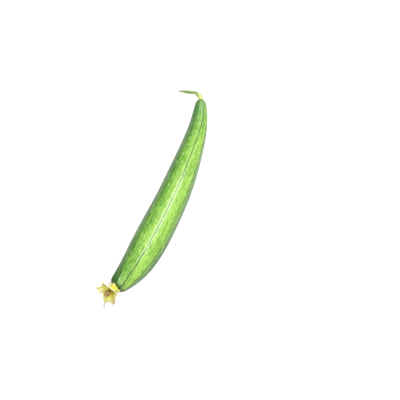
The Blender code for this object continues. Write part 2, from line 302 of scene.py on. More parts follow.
def spline(points):
    """A function that follows a natural cubic spline through the (place, value) points."""
    places = np.array([point[0] for point in points])
    values = np.array([point[1:] for point in points])
    widths = np.diff(places)
    slopes = np.diff(values, axis=0) / widths[:, None]
    matrix = np.eye(len(places))
    right = np.zeros(values.shape)
    for i in range(1, len(places) - 1):
        matrix[i, i - 1] = widths[i - 1]
        matrix[i, i] = 2 * (widths[i - 1] + widths[i])
        matrix[i, i + 1] = widths[i]
        right[i] = 6 * (slopes[i] - slopes[i - 1])
    bends = np.linalg.solve(matrix, right)

    def value(place):
        i = int(np.clip(np.searchsorted(places, place) - 1, 0, len(widths) - 1))
        before = place - places[i]
        after = places[i + 1] - place
        width = widths[i]
        curve = bends[i] * after**3 / (6 * width) + bends[i + 1] * before**3 / (6 * width)
        start = (values[i] / width - bends[i] * width / 6) * after
        end = (values[i + 1] / width - bends[i + 1] * width / 6) * before
        return [float(number) for number in curve + start + end]

    return value


def route(points):
    """A function from 0..1 to a place on the smooth curve through the points."""
    steps = [0.0]
    for i in range(1, len(points)):
        steps.append(steps[-1] + (Vector(points[i]) - Vector(points[i - 1])).length)
    curve = spline([(steps[i] / steps[-1], *points[i]) for i in range(len(points))])
    return lambda place: Vector(curve(place))


def smooth_step(low, high, value):
    """Rises smoothly from 0 at low to 1 at high."""
    share = min(1.0, max(0.0, (value - low) / (high - low)))
    return share * share * (3 - 2 * share)


class GourdShape:
    """Midline, girth and ribs of the fruit, as functions of the place along it from 0 to 1."""

    girth = staticmethod(spline(GIRTH))
    bow = staticmethod(spline(BOW))
    line_turn = staticmethod(spline(LINE_TURN))

    def __init__(self, sizes):
        self.sizes = sizes

    def body_radius(self, place):
        return self.sizes.radius * self.girth(place)[0]

    def rounding(self, place, distance, depth, face_radius):
        """Share of the radius that is left near an end, on a quarter ellipse."""
        if distance >= depth:
            return 1.0
        share = face_radius / self.body_radius(place)
        return share + (1 - share) * sqrt(1 - (1 - distance / depth) ** 2)

    def radius(self, place):
        length = self.sizes.length
        blossom = self.rounding(place, place * length, BLOSSOM_ROUNDING, BLOSSOM_FACE_RADIUS)
        stem = self.rounding(place, (1 - place) * length, STEM_ROUNDING, STEM_FACE_RADIUS)
        return self.body_radius(place) * blossom * stem

    def midline(self, place):
        blossom = max(0.0, 1 - place / BLOSSOM_LIFT_ENDS)
        stem = max(0.0, (place - STEM_LIFT_STARTS) / (1 - STEM_LIFT_STARTS))
        lift = BLOSSOM_LIFT * blossom**2 + STEM_LIFT * stem**2
        height = self.body_radius(place) - SINK + lift
        side = -self.sizes.bow * self.bow(place)[0]
        return Vector((place * self.sizes.length, side, height)) - OUTLINE_MIDDLE

    def axes(self, place, step=0.002):
        """Direction along the fruit, towards its bowed side, and up."""
        start = self.midline(max(0.0, place - step))
        end = self.midline(min(1.0, place + step))
        along = (end - start).normalized()
        side = along.cross(Vector((0, 0, 1))).normalized()
        return along, side, side.cross(along)

    def rib_height(self, place):
        """Ribs are highest at both ends and fade with the rounding of each end."""
        gain = self.sizes.end_rib_height - self.sizes.rib_height
        height = self.sizes.rib_height + gain * abs(2 * place - 1) ** 4
        return height * self.radius(place) / self.body_radius(place)


def fruit_shape():
    return GourdShape(bpy.context.scene.gourd_fruit)


def flower_matrix():
    """The flower's frame: on the blossom face, +Z out of the fruit, +X up."""
    shape = fruit_shape()
    along, side, up = shape.axes(0.0)
    axes = Matrix((up, -side, -along)).transposed()
    return Matrix.Translation(shape.midline(0.0)) @ axes.to_4x4()


def stem_path():
    """Route of the stem from the fruit's stem face."""
    start = fruit_shape().midline(1.0)
    return route([tuple(start + Vector(point)) for point in STEM_ROUTE])


def add_node(tree, kind, values=(), **settings):
    """A new node: settings are its own options, values go into its sockets by name or number."""
    node = tree.nodes.new(kind)
    for name, setting in settings.items():
        setattr(node, name, setting)
    for socket, value in dict(values).items():
        if isinstance(value, Field):
            tree.links.new(value.socket, node.inputs[socket])
        else:
            node.inputs[socket].default_value = value
    return node


class Field:
    """A value that varies over a shape; arithmetic on it adds the nodes that work it out."""

    def __init__(self, tree, socket):
        self.tree = tree
        self.socket = socket

    def node(self, kind, values, output=0, **settings):
        """One output of a new node in the same tree."""
        made = add_node(self.tree, kind, values, **settings)
        return Field(self.tree, made.outputs[output])

    def maths(self, operation, *values):
        return self.node("ShaderNodeMath", enumerate(values), operation=operation)

    def __add__(self, other):
        return self.maths("ADD", self, other)

    def __sub__(self, other):
        return self.maths("SUBTRACT", self, other)

    def __mul__(self, other):
        return self.maths("MULTIPLY", self, other)

    def __truediv__(self, other):
        return self.maths("DIVIDE", self, other)

    def __rsub__(self, other):
        return self.maths("SUBTRACT", other, self)

    def __rtruediv__(self, other):
        return self.maths("DIVIDE", other, self)

    __radd__ = __add__
    __rmul__ = __mul__

    def function(self, name, *others):
        """Sine, absolute value, maximum and the like."""
        return self.maths(name, self, *others)

    def ramp(self, low, high, start=0.0, end=1.0):
        """Goes smoothly from start to end as this field goes from low to high."""
        values = {"Value": self, "From Min": low, "From Max": high, "To Min": start, "To Max": end}
        return self.node("ShaderNodeMapRange", values, interpolation_type="SMOOTHSTEP")

    def split(self):
        """The three parts of a vector."""
        node = add_node(self.tree, "ShaderNodeSeparateXYZ", {0: self})
        return [Field(self.tree, socket) for socket in node.outputs]

    def stretched(self, *sizes):
        """This vector in units of the given sizes."""
        scale = tuple(1 / size for size in sizes)
        return self.node("ShaderNodeVectorMath", {0: self, 1: scale}, operation="MULTIPLY")

    def grain(self, *sizes, detail=2.0, roughness=0.5, bend=0.0, seed=0.0):
        """Noise from 0 to 1 over this vector, with blobs of about the given sizes."""
        values = {"Vector": self.stretched(*sizes), "W": seed, "Scale": 1.0, "Detail": detail}
        values.update({"Roughness": roughness, "Distortion": bend})
        return self.node("ShaderNodeTexNoise", values, noise_dimensions="4D")

    def cells(self, *sizes):
        """Distance from the nearest of many scattered points, and a random colour for each."""
        values = {"Vector": self.stretched(*sizes), "Scale": 1.0, "Randomness": 1.0}
        node = add_node(self.tree, "ShaderNodeTexVoronoi", values)
        return Field(self.tree, node.outputs["Distance"]), Field(self.tree, node.outputs["Color"])

    def blend(self, first, second):
        """A colour that goes from first to second as this field goes from 0 to 1."""
        values = {0: self, 6: rgba(first), 7: rgba(second)}
        return self.node("ShaderNodeMix", values, output=2, data_type="RGBA")


def rgba(colour):
    """A colour as a socket takes it."""
    return colour if isinstance(colour, Field) else (*colour, 1.0)


class Material:
    """A material under way: its tree, its shader, and the fields that the meshes carry."""

    def __init__(self, name):
        self.material = bpy.data.materials.new(name)
        self.material.use_nodes = True
        self.tree = self.material.node_tree
        self.shader = self.tree.nodes["Principled BSDF"]

    def attribute(self, name, output="Vector"):
        node = add_node(self.tree, "ShaderNodeAttribute", attribute_name=name)
        return Field(self.tree, node.outputs[output])

    def object_place(self):
        node = add_node(self.tree, "ShaderNodeTexCoord")
        return Field(self.tree, node.outputs["Object"])

    def set(self, **values):
        """Feed the shader's sockets; an underscore in a name stands for a space."""
        for name, value in values.items():
            socket = self.shader.inputs[name.replace("_", " ")]
            if isinstance(value, Field):
                self.tree.links.new(value.socket, socket)
            else:
                socket.default_value = value

    def set_relief(self, height):
        """Fine relief, from a height in metres."""
        node = add_node(self.tree, "ShaderNodeBump", {"Height": height, "Distance": 1.0, "Strength": 1.0})
        self.tree.links.new(node.outputs["Normal"], self.shader.inputs["Normal"])


def left_side(turn):
    """1 left of the main line, looking from the flower to the stem, and 0 right of it."""
    return turn.ramp(-0.12, 0.12, 1.0, 0.0)


def near_flower(place):
    """1 at the blossom end, falling to 0 along the first sixth of the fruit."""
    return place.ramp(0.0, 0.16, 1.0, 0.0)


def skin_greens(fruit, spot, place, turn, grain):
    """Mottled greens, bluish on the neck; painted shade: palest on the lit face, deeper on the flanks, rims
    and ends.
    """
    to_stem = place.ramp(0.62, 0.95)
    left = left_side(turn)
    clouds = spot.grain(0.0075, 0.0075, 0.045, detail=3.0, roughness=0.6, seed=3.0)
    # Painted shade: the green deepens away from the lit face, towards both flanks
    painted_flank_shade = (turn - fruit.lit_face_turn).function("ABSOLUTE").ramp(0.3, 1.15)
    shade = clouds * 0.30 + grain - (painted_flank_shade - 0.3) * fruit.flank_shade_tone
    # Darker towards the stem, and painted shade left of the main line near the flower, on the shaded side
    shade = shade - to_stem * 0.03 - near_flower(place) * left * 0.05
    colour = shade.ramp(0.36, 0.47).blend(fruit.skin_deep_and_shade, fruit.skin_middle)
    colour = shade.ramp(0.46, 0.57).blend(colour, fruit.skin_pale)
    bloom = place.ramp(0.78, 0.96) * spot.grain(0.012, 0.012, 0.06, seed=4.0).ramp(0.3, 0.6) * left
    colour = (bloom * 0.6).blend(colour, fruit.skin_blue)
    # Painted shade: a dark band left of the neck's main line, and a dark band along the right rim
    shady_band = turn.ramp(-0.86, -0.74, 1.0, 0.0) * to_stem + turn.ramp(0.85, 1.30)
    colour = (shady_band * 0.55).blend(colour, fruit.skin_deep_and_shade)
    # Painted shade: a dark wedge left of the main line at the blossom end
    painted_wedge_shade = turn.ramp(-1.15, -0.80, 1.0, 0.0) * place.ramp(0.015, 0.07, 1.0, 0.0)
    return (painted_wedge_shade * 0.5).blend(colour, fruit.line_and_shade_colour)


def skin_dashes(spot, place):
    """Short pale dashes, and how strongly they show: less at both ends."""
    distance, random = spot.cells(0.0021, 0.0021, 0.0110)
    dash = distance.ramp(0.10, 0.36, 1.0, 0.0) * random.split()[0].ramp(0.42, 0.62)
    ends = place.ramp(0.02, 0.10) * place.ramp(0.78, 0.95, 1.0, 0.15)
    return dash, dash * ends * 0.55


def skin_lines(fruit, spot, place, turn):
    """A thin line on each rib, and how strongly it shows: the main line most."""
    across, up, _ = spot.split()
    reach = (across * across + up * up).function("SQRT")
    spacing = 2 * pi / fruit.lines
    from_line = (turn / spacing).function("PINGPONG", 0.5) * spacing * reach
    width = spot.grain(0.004, 0.004, 0.012, seed=2.0) * 0.0005 + 0.0007 + near_flower(place) * 0.0006
    broken = spot.grain(0.004, 0.004, 0.0035, detail=1.0, seed=11.0).ramp(0.25, 0.5, 0.6, 1.0)
    main = turn.function("ABSOLUTE").ramp(0.15, 0.25, 1.0, 0.0)
    faint = spot.grain(0.016, 0.016, 0.14, detail=0.0, seed=7.0).ramp(0.35, 0.6, 0.25, 0.8)
    strength = faint.function("MAXIMUM", main * 0.95).function("MAXIMUM", near_flower(place))
    return (from_line / width).ramp(0.35, 1.0, 1.0, 0.0) * broken, strength


def skin_material(fruit):
    """Waxy green skin: lengthwise mottling, pale dashes and a thin dark line along each rib."""
    skin = Material("gourd_skin_finish")
    place = skin.attribute("place", "Fac")
    spot = skin.attribute("skin")
    across, up, _ = spot.split()
    turn = up.function("ARCTAN2", across)
    streaks = spot.grain(0.0017, 0.0017, 0.0100, detail=3.0, roughness=0.65, bend=0.3, seed=8.0)
    fibres = spot.grain(0.0008, 0.0008, 0.0060, detail=2.0, roughness=0.6, seed=5.0)
    pores = spot.grain(0.0006, 0.0006, 0.0010, detail=1.0, seed=9.0)
    end_breakup = spot.grain(0.003, 0.003, 0.006, detail=3.0, roughness=0.7, seed=6.0)

    colour = skin_greens(fruit, spot, place, turn, streaks * 0.42 + fibres * 0.28)
    dash, dash_strength = skin_dashes(spot, place)
    colour = dash_strength.blend(colour, fruit.fleck_colour)
    line, line_strength = skin_lines(fruit, spot, place, turn)
    colour = (line * line_strength).blend(colour, fruit.line_and_shade_colour)
    # Dark ends, partly the skin's own colour and partly painted shade where stem and flower join, deeper on
    # the shaded left
    end_darkening_and_shade = place.ramp(0.0, 0.020, 1.0, 0.0) + place.ramp(0.975, 0.996) * (left_side(turn) * 0.7 + 0.3)
    colour = (end_darkening_and_shade * end_breakup.ramp(0.2, 0.6, 0.6, 1.0)).blend(colour, fruit.dark_end_and_shade_colour)

    skin.set(Base_Color=colour, Roughness=fibres.ramp(0.3, 0.7, 0.36, 0.46) + line * 0.1)
    skin.set(Coat_Weight=1.0 - line * line_strength * 0.7, Coat_Roughness=0.20, Specular_IOR_Level=0.35)
    skin.set_relief(streaks * 0.00024 + fibres * 0.00012 + pores * 0.00003 + dash * 0.00004)
    return skin.material


def stem_material(stem):
    """Fibrous stem, yellowish where it leaves the fruit and grey-green at its end."""
    finish = Material("stem_finish")
    place = finish.attribute("place", "Fac")
    spot = finish.attribute("skin")
    fibres = spot.grain(0.0005, 0.0005, 0.006, detail=3.0, roughness=0.6, seed=3.0)
    warts = spot.grain(0.0007, 0.0007, 0.0012, detail=1.0, seed=5.0)
    colour = (place + fibres * 0.3).ramp(0.35, 1.0).blend(stem.base_colour, stem.tip_colour)
    colour = (fibres.ramp(0.52, 0.7) * 0.5).blend(colour, stem.tip_colour)
    colour = (warts.ramp(0.6, 0.75) * 0.5).blend(colour, stem.leaf_pale)
    finish.set(Base_Color=colour, Roughness=fibres.ramp(0.3, 0.7, 0.5, 0.68))
    finish.set_relief(fibres * 0.00022 + warts * 0.00012)
    return finish.material


def leaf_material(stem):
    """Rolled leaf: darker between pale veins, and dry towards its tip."""
    finish = Material("stem_leaf_finish")
    blade = finish.attribute("blade")
    place, around, _ = blade.split()
    spot = finish.object_place()
    mottle = spot.grain(0.0016, 0.0016, 0.0016, detail=3.0, seed=2.0)
    slant = place * 30.0 + (around - 0.5).function("ABSOLUTE") * 22.0
    vein = slant.function("PINGPONG", 0.5).ramp(0.0, 0.16, 1.0, 0.0)
    midrib = (around - 0.5).function("ABSOLUTE").ramp(0.012, 0.035, 1.0, 0.0)
    colour = mottle.ramp(0.35, 0.65, 0.0, 0.45).blend(stem.leaf_colour, stem.leaf_pale)
    colour = (vein * 0.4).function("MAXIMUM", midrib * 0.8).blend(colour, stem.leaf_pale)
    colour = (place + mottle * 0.3).ramp(0.75, 1.1).blend(colour, stem.leaf_tip)
    finish.set(Base_Color=colour, Roughness=mottle.ramp(0.3, 0.7, 0.5, 0.65))
    finish.set_relief(vein * 0.00005 + midrib * 0.00012 + mottle * 0.00012)
    return finish.material


def calyx_material(flower):
    """Veined, slightly downy calyx whose lobes dry at their edges."""
    finish = Material("calyx_finish")
    lobe, across, _ = finish.attribute("blade").split()
    spot = finish.object_place()
    mottle = spot.grain(0.0014, 0.0014, 0.0014, detail=3.0, seed=2.0)
    down = spot.grain(0.0003, 0.0003, 0.0003, detail=1.0, seed=4.0)
    vein = (across * 5.0).function("PINGPONG", 0.5).ramp(0.0, 0.14, 1.0, 0.0)
    colour = (lobe + mottle * 0.6 - 0.3).ramp(0.45, 1.0).blend(flower.calyx_colour, flower.calyx_edge)
    colour = (vein * 0.4).blend(colour, flower.petal_olive_and_fold_shade)
    colour = (mottle.ramp(0.55, 0.75) * 0.35).blend(colour, flower.petal_olive_and_fold_shade)
    finish.set(Base_Color=colour, Roughness=down.ramp(0.3, 0.7, 0.65, 0.8), Sheen_Weight=0.2)
    finish.set_relief(vein * 0.00008 + mottle * 0.00020 + down * 0.00005)
    return finish.material


def petal_material(flower):
    """Papery petal: yellow at its base, cream at its dried edge, olive veins, painted olive shade in the
    folds, brown in spots.
    """
    finish = Material("petal_finish")
    place, across, fold = finish.attribute("blade").split()
    wither = finish.attribute("wither", "Fac")
    spot = finish.object_place()
    clouds = spot.grain(0.0042, 0.0042, 0.0042, detail=3.0, roughness=0.6, seed=2.0)
    mottle = spot.grain(0.0016, 0.0016, 0.0016, detail=3.0, roughness=0.6, seed=6.0)
    edge = place + across.function("ABSOLUTE") * 0.25 + clouds * 0.8 - 0.4 + wither * 0.1
    colour = edge.ramp(0.45, 1.0).blend(flower.petal_yellow, flower.petal_cream)
    veins = (across * 9.0 + mottle * 1.2).function("PINGPONG", 0.5).ramp(0.0, 0.16, 1.0, 0.0)
    colour = (veins * 0.25).blend(colour, flower.petal_olive_and_fold_shade)
    # Painted shade: olive in the deep folds of the pleats
    painted_fold_shade = (fold + mottle * 0.6 - 0.3).ramp(-0.95, -0.4, 1.0, 0.0)
    colour = (painted_fold_shade * 0.35).blend(colour, flower.petal_olive_and_fold_shade)
    spots = (clouds + wither * 0.08).ramp(0.62, 0.72) * mottle.ramp(0.35, 0.55)
    tail = wither.ramp(0.5, 0.9) * place.ramp(0.45, 0.75)
    colour = (spots * 0.85).function("MAXIMUM", tail * 0.4).blend(colour, flower.petal_brown)
    finish.set(Base_Color=colour, Roughness=mottle.ramp(0.3, 0.7, 0.55, 0.75), Sheen_Weight=0.1)
    finish.set(Subsurface_Weight=0.5, Subsurface_Radius=(0.004, 0.0035, 0.0015))
    finish.set_relief(veins * 0.00006 + mottle * 0.00030)
    return finish.material


def pistil_material(flower):
    """Withered stigmas: brown, warty, darker in random patches."""
    finish = Material("pistil_finish")
    spot = finish.object_place()
    mottle = spot.grain(0.0018, 0.0018, 0.0018, detail=3.0, roughness=0.6, seed=2.0)
    warts, _ = spot.cells(0.0006, 0.0006, 0.0006)
    colour = mottle.ramp(0.42, 0.56).blend(flower.pistil_dark, flower.pistil_colour)
    colour = (mottle.ramp(0.58, 0.75) * 0.6).blend(colour, flower.petal_cream)
    colour = (warts.ramp(0.0, 0.45, 0.35, 0.0)).blend(colour, flower.petal_brown)
    finish.set(Base_Color=colour, Roughness=mottle.ramp(0.3, 0.7, 0.6, 0.85))
    finish.set_relief(warts.ramp(0.0, 0.6, 0.00022, 0.0) + mottle * 0.00030)
    return finish.material


def floor_material(studio):
    """Pale floor with a faint unevenness."""
    finish = Material("floor_finish")
    patches = finish.object_place().grain(0.5, 0.5, 0.5, detail=2.0, seed=1.0)
    bright = tuple(studio.floor_colour)
    dim = tuple(level * 0.985 for level in bright)
    finish.set(Base_Color=patches.blend(dim, bright), Roughness=0.7, Emission_Color=(1.0, 1.0, 1.0, 1.0))
    seen = Field(finish.tree, add_node(finish.tree, "ShaderNodeLightPath").outputs["Is Camera Ray"])
    finish.set(Emission_Strength=seen * studio.floor_glow)
    return finish.material


# Rounds the crest of each rib, which would else be a sharp edge
CREST_ROUNDING = 0.01

# Inputs of the ribbed sweep: name and kind
SWEEP_INPUTS = (
    ("Sides", "NodeSocketInt"),
    ("Ribs", "NodeSocketInt"),
    ("Crowding", "NodeSocketFloat"),
    ("Groove Depth", "NodeSocketFloat"),
    ("Groove Width", "NodeSocketFloat"),
    ("Swelling", "NodeSocketFloat"),
    ("Swelling Size", "NodeSocketFloat"),
    ("Streak Height", "NodeSocketFloat"),
    ("Seed", "NodeSocketFloat"),
    ("Lowest", "NodeSocketFloat"),
    ("Finish", "NodeSocketMaterial"),
)


def new_geometry_tree(name, inputs):
    """A geometry tree with the named inputs, each as a field, and its output node."""
    tree = bpy.data.node_groups.new(name, "GeometryNodeTree")
    for label, kind in (("Geometry", "NodeSocketGeometry"), *inputs):
        tree.interface.new_socket(label, in_out="INPUT", socket_type=kind)
    tree.interface.new_socket("Geometry", in_out="OUTPUT", socket_type="NodeSocketGeometry")
    start = tree.nodes.new("NodeGroupInput")
    fields = {socket.name: Field(tree, socket) for socket in start.outputs if socket.name}
    return tree, fields, tree.nodes.new("NodeGroupOutput")


def named(tree, name, kind="FLOAT"):
    """A field that the guide line or the ring carries."""
    node = add_node(tree, "GeometryNodeInputNamedAttribute", {"Name": name}, data_type=kind)
    return Field(tree, node.outputs["Attribute"])


def vector(first, second, third):
    """A vector of three parts: the first is a field, the others are fields or numbers."""
    return first.node("ShaderNodeCombineXYZ", {0: first, 1: second, 2: third})


def sweep_ring(tree, given):
    """The ring that is swept: a unit circle whose points crowd together near each line."""
    circle = add_node(tree, "GeometryNodeCurvePrimitiveCircle", {"Resolution": given["Sides"]})
    index = Field(tree, add_node(tree, "GeometryNodeInputIndex").outputs[0])
    even = index * (2 * pi) / given["Sides"]
    turn = even - (even * given["Ribs"]).function("SINE") * given["Crowding"] / given["Ribs"]
    round_place = vector(turn.function("SINE"), turn.function("COSINE") * -1.0, 0.0)
    ring = Field(tree, circle.outputs["Curve"])
    turn_values = {"Geometry": ring, "Name": "turn", "Value": turn}
    ring = ring.node("GeometryNodeStoreNamedAttribute", turn_values, data_type="FLOAT")
    return ring.node("GeometryNodeSetPosition", {"Geometry": ring, "Position": round_place})


def ribbed_sweep_tree():
    """Sweeps a ring along a guide line, with ribs, a groove on each rib, swellings and streaks.

    The guide's points carry their own place as centre, the ring's girth, the line_turn and
    rib_height there, and the distance run from the start.
    """
    tree, given, output = new_geometry_tree("ribbed_sweep", SWEEP_INPUTS)
    guide = given["Geometry"].node("GeometryNodeMeshToCurve", {"Mesh": given["Geometry"]})
    guide = guide.node("GeometryNodeSetCurveNormal", {"Curve": guide}, mode="Z_UP")
    guide = guide.node("GeometryNodeSetCurveTilt", {"Curve": guide, "Tilt": named(tree, "line_turn")})
    girth = named(tree, "girth")
    sweep = {"Curve": guide, "Profile Curve": sweep_ring(tree, given), "Scale": girth, "Fill Caps": True}
    body = guide.node("GeometryNodeCurveToMesh", sweep)

    turn = named(tree, "turn")
    ribs = given["Ribs"]
    spot = vector(turn.function("COSINE") * girth, turn.function("SINE") * girth, named(tree, "run"))
    half_wave = (turn * ribs * 0.5).function("SINE")
    rib = (half_wave * half_wave + CREST_ROUNDING).function("SQRT") * named(tree, "rib_height") * -1.0

    spacing = 2 * pi / ribs
    from_line = (turn / spacing).function("PINGPONG", 0.5) * spacing * girth
    groove = from_line.ramp(0.0, given["Groove Width"], 1.0, 0.0) * given["Groove Depth"]
    size = given["Swelling Size"]
    blobs = vector(size, size, size * 3.0)
    loose = spot.node("ShaderNodeVectorMath", {0: spot, 1: blobs}, operation="DIVIDE")
    swelling = (loose.grain(1.0, 1.0, 1.0, detail=2.0, seed=given["Seed"]) - 0.5) * given["Swelling"]
    streak = (loose.grain(0.22, 0.22, 0.35, detail=2.0, seed=given["Seed"]) - 0.5) * given["Streak Height"]
    height = rib - groove + swelling + streak

    place = Field(tree, add_node(tree, "GeometryNodeInputPosition").outputs[0])
    centre = named(tree, "centre", "FLOAT_VECTOR")
    out = place.node("ShaderNodeVectorMath", {0: place, 1: centre}, operation="SUBTRACT")
    out = out.node("ShaderNodeVectorMath", {0: out}, operation="NORMALIZE")
    offset = out.node("ShaderNodeVectorMath", {0: out, "Scale": height}, operation="SCALE")
    stored = {"Geometry": body, "Name": "skin", "Value": spot}
    body = body.node("GeometryNodeStoreNamedAttribute", stored, data_type="FLOAT_VECTOR")
    body = body.node("GeometryNodeSetPosition", {"Geometry": body, "Offset": offset})
    x, y, z = place.split()
    pressed = vector(x, y, z.function("MAXIMUM", given["Lowest"]))
    body = body.node("GeometryNodeSetPosition", {"Geometry": body, "Position": pressed})
    body = body.node("GeometryNodeSetShadeSmooth", {"Geometry": body})
    body = body.node("GeometryNodeRealizeInstances", {"Geometry": body})
    body = body.node("GeometryNodeSetMaterial", {"Geometry": body, "Material": given["Finish"]})
    tree.links.new(body.socket, output.inputs[0])
    return tree


def store_values(mesh, name, values):
    """Give every point of a mesh its own number or vector."""
    values = np.array(values, dtype=np.float32)
    if values.ndim == 2:
        mesh.attributes.new(name, "FLOAT_VECTOR", "POINT").data.foreach_set("vector", values.ravel())
    else:
        mesh.attributes.new(name, "FLOAT", "POINT").data.foreach_set("value", values)


def guide_object(name, stations):
    """A line of points, each with its place and the values that the sweep reads there."""
    mesh = bpy.data.meshes.new(name)
    places = [station["centre"] for station in stations]
    mesh.from_pydata(places, [(i, i + 1) for i in range(len(places) - 1)], [])
    for key in stations[0]:
        store_values(mesh, key, [station[key] for station in stations])
    return link(name, mesh)


def link(name, mesh):
    item = bpy.data.objects.new(name, mesh)
    bpy.context.scene.collection.objects.link(item)
    return item


def make_plain(item):
    """Put the evaluated shape into the object's own mesh and take its modifiers off."""
    bpy.context.view_layer.update()
    graph = bpy.context.evaluated_depsgraph_get()
    mesh = bpy.data.meshes.new_from_object(item.evaluated_get(graph), depsgraph=graph)
    item.modifiers.clear()
    item.data = mesh
    return item


def add_sweep(name, stations, values):
    """Run the ribbed sweep along a guide and keep its result as a plain mesh."""
    item = guide_object(name, stations)
    tree = bpy.data.node_groups.get("ribbed_sweep") or ribbed_sweep_tree()
    modifier = item.modifiers.new("ribbed_sweep", "NODES")
    modifier.node_group = tree
    for socket in tree.interface.items_tree:
        if socket.in_out == "INPUT" and socket.name in values:
            modifier[socket.identifier] = values[socket.name]
    make_plain(item)
    for spare in ("centre", "girth", "line_turn", "rib_height", "run", "turn"):
        item.data.attributes.remove(item.data.attributes[spare])
    return item


def add_mesh(name, points, faces, finish, **attributes):
    """A smooth object from points and faces, with a value or a vector for each point."""
    mesh = bpy.data.meshes.new(name)
    mesh.from_pydata([tuple(point) for point in points], [], faces)
    for key, values in attributes.items():
        store_values(mesh, key, values)
    mesh.shade_smooth()
    mesh.materials.append(finish)
    mesh.validate()
    return link(name, mesh)


def loft_faces(rows, columns):
    """Faces of a closed tube of rings, with a fan of triangles onto one point at each end."""
    faces = []
    for i in range(rows - 1):
        for j in range(columns):
            k = (j + 1) % columns
            faces.append((i * columns + j, i * columns + k, (i + 1) * columns + k, (i + 1) * columns + j))
    first = rows * columns
    last = first + 1
    for j in range(columns):
        k = (j + 1) % columns
        faces.append((first, k, j))
        faces.append((last, (rows - 1) * columns + j, (rows - 1) * columns + k))
    return faces


def sheet_faces(rows, columns):
    """Faces of an open sheet of points, row after row."""
    faces = []
    for i in range(rows - 1):
        for j in range(columns - 1):
            corner = i * columns + j
            faces.append((corner, corner + 1, corner + columns + 1, corner + columns))
    return faces


def finish_piece(item, node):
    """Hand a finished piece to the frame: it stands for a CAD node and rides on the one body."""
    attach(item, "root")
    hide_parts(node)


FRUIT_RINGS = 400
FRUIT_SIDES = 224
FRUIT_EVEN_SHARE = 0.45


def make_fruit():
    """Stations crowd towards both ends, where the shape turns fastest."""
    fruit = bpy.context.scene.gourd_fruit
    shape = GourdShape(fruit)
    stations = []
    for i in range(FRUIT_RINGS):
        even = i / (FRUIT_RINGS - 1)
        place = FRUIT_EVEN_SHARE * even + (1 - FRUIT_EVEN_SHARE) * (1 - cos(pi * even)) / 2
        stations.append({
            "centre": shape.midline(place),
            "place": place,
            "girth": shape.radius(place),
            "line_turn": radians(shape.line_turn(place)[0]),
            "rib_height": shape.rib_height(place),
            "run": place * fruit.length,
        })
    values = {
        "Sides": FRUIT_SIDES,
        "Ribs": fruit.lines,
        "Crowding": 0.6,
        "Groove Depth": fruit.groove_depth,
        "Groove Width": fruit.groove_width,
        "Swelling": fruit.swelling,
        "Swelling Size": 0.014,
        "Streak Height": 0.00016,
        "Seed": 4.0,
        "Lowest": 0.0,
        "Finish": skin_material(fruit),
    }
    item = add_sweep("fruit_skin", stations, values)
    finish_piece(item, "fruit")


STEM_RINGS = 150
STEM_SIDES = 80


def make_stem():
    """The stem tapers away from the fruit, and its ridges wind slowly round it."""
    stem = bpy.context.scene.gourd_stem
    path = stem_path()
    along, _, _ = fruit_shape().axes(1.0)
    stations = []
    for i in range(STEM_RINGS):
        place = i / (STEM_RINGS - 1)
        girth = stem.base_radius + (stem.tip_radius - stem.base_radius) * place
        centre = path(place) - ROOT_DEPTH * (1 - place) * along
        stations.append({
            "centre": centre,
            "place": place,
            "girth": girth,
            "line_turn": radians(STEM_TWIST * place),
            "rib_height": stem.ridge_height,
            "run": (path(place) - path(0.0)).length,
        })
    values = {
        "Sides": STEM_SIDES,
        "Ribs": stem.ridges,
        "Crowding": 0.0,
        "Groove Depth": 0.0,
        "Groove Width": 0.001,
        "Swelling": 0.0004,
        "Swelling Size": 0.0025,
        "Streak Height": 0.00012,
        "Seed": 9.0,
        "Lowest": 0.0,
        "Finish": stem_material(stem),
    }
    item = add_sweep("stem_skin", stations, values)
    finish_piece(item, "stem")


LEAF_RINGS = 110
LEAF_SIDES = 72
LEAF_ROOT_DEPTH = 0.0004
LEAF_TURNS_OF_EDGE = 0.16
LEAF_FIRST_TURN = 0.9
LEAF_WOBBLE = 0.00035
LEAF_EDGE_STEP = 0.16
LEAF_MIDRIB_HEIGHT = 0.07
LEAF_VEIN_HEIGHT = 0.025
LEAF_VEINS = 15
LEAF_VEIN_SLANT = 11


def leaf_share(place):
    """Width along the leaf as a share of its widest, from the stem to the pointed tip."""
    if place < LEAF_WIDEST:
        rise = sin(pi / 2 * place / LEAF_WIDEST)
        return LEAF_BASE_SHARE + (1 - LEAF_BASE_SHARE) * rise
    fall = cos(pi / 2 * (place - LEAF_WIDEST) / (1 - LEAF_WIDEST))
    return LEAF_TIP_SHARE + (1 - LEAF_TIP_SHARE) * fall


def leaf_reach(place, around):
    """Uneven outline of the roll: the free edge lies on it as a step, the midrib stands out."""
    step = smooth_step(0.0, 0.06, around) * (1 - smooth_step(0.94, 1.0, around))
    spiral = 1 - LEAF_EDGE_STEP + LEAF_EDGE_STEP * around * step
    midrib = LEAF_MIDRIB_HEIGHT * (1 - smooth_step(0.0, 0.05, abs(around - 0.5)))
    wave = 2 * pi * (place * LEAF_VEINS + abs(around - 0.5) * LEAF_VEIN_SLANT)
    veins = LEAF_VEIN_HEIGHT * sin(wave)
    return spiral + midrib + veins * step


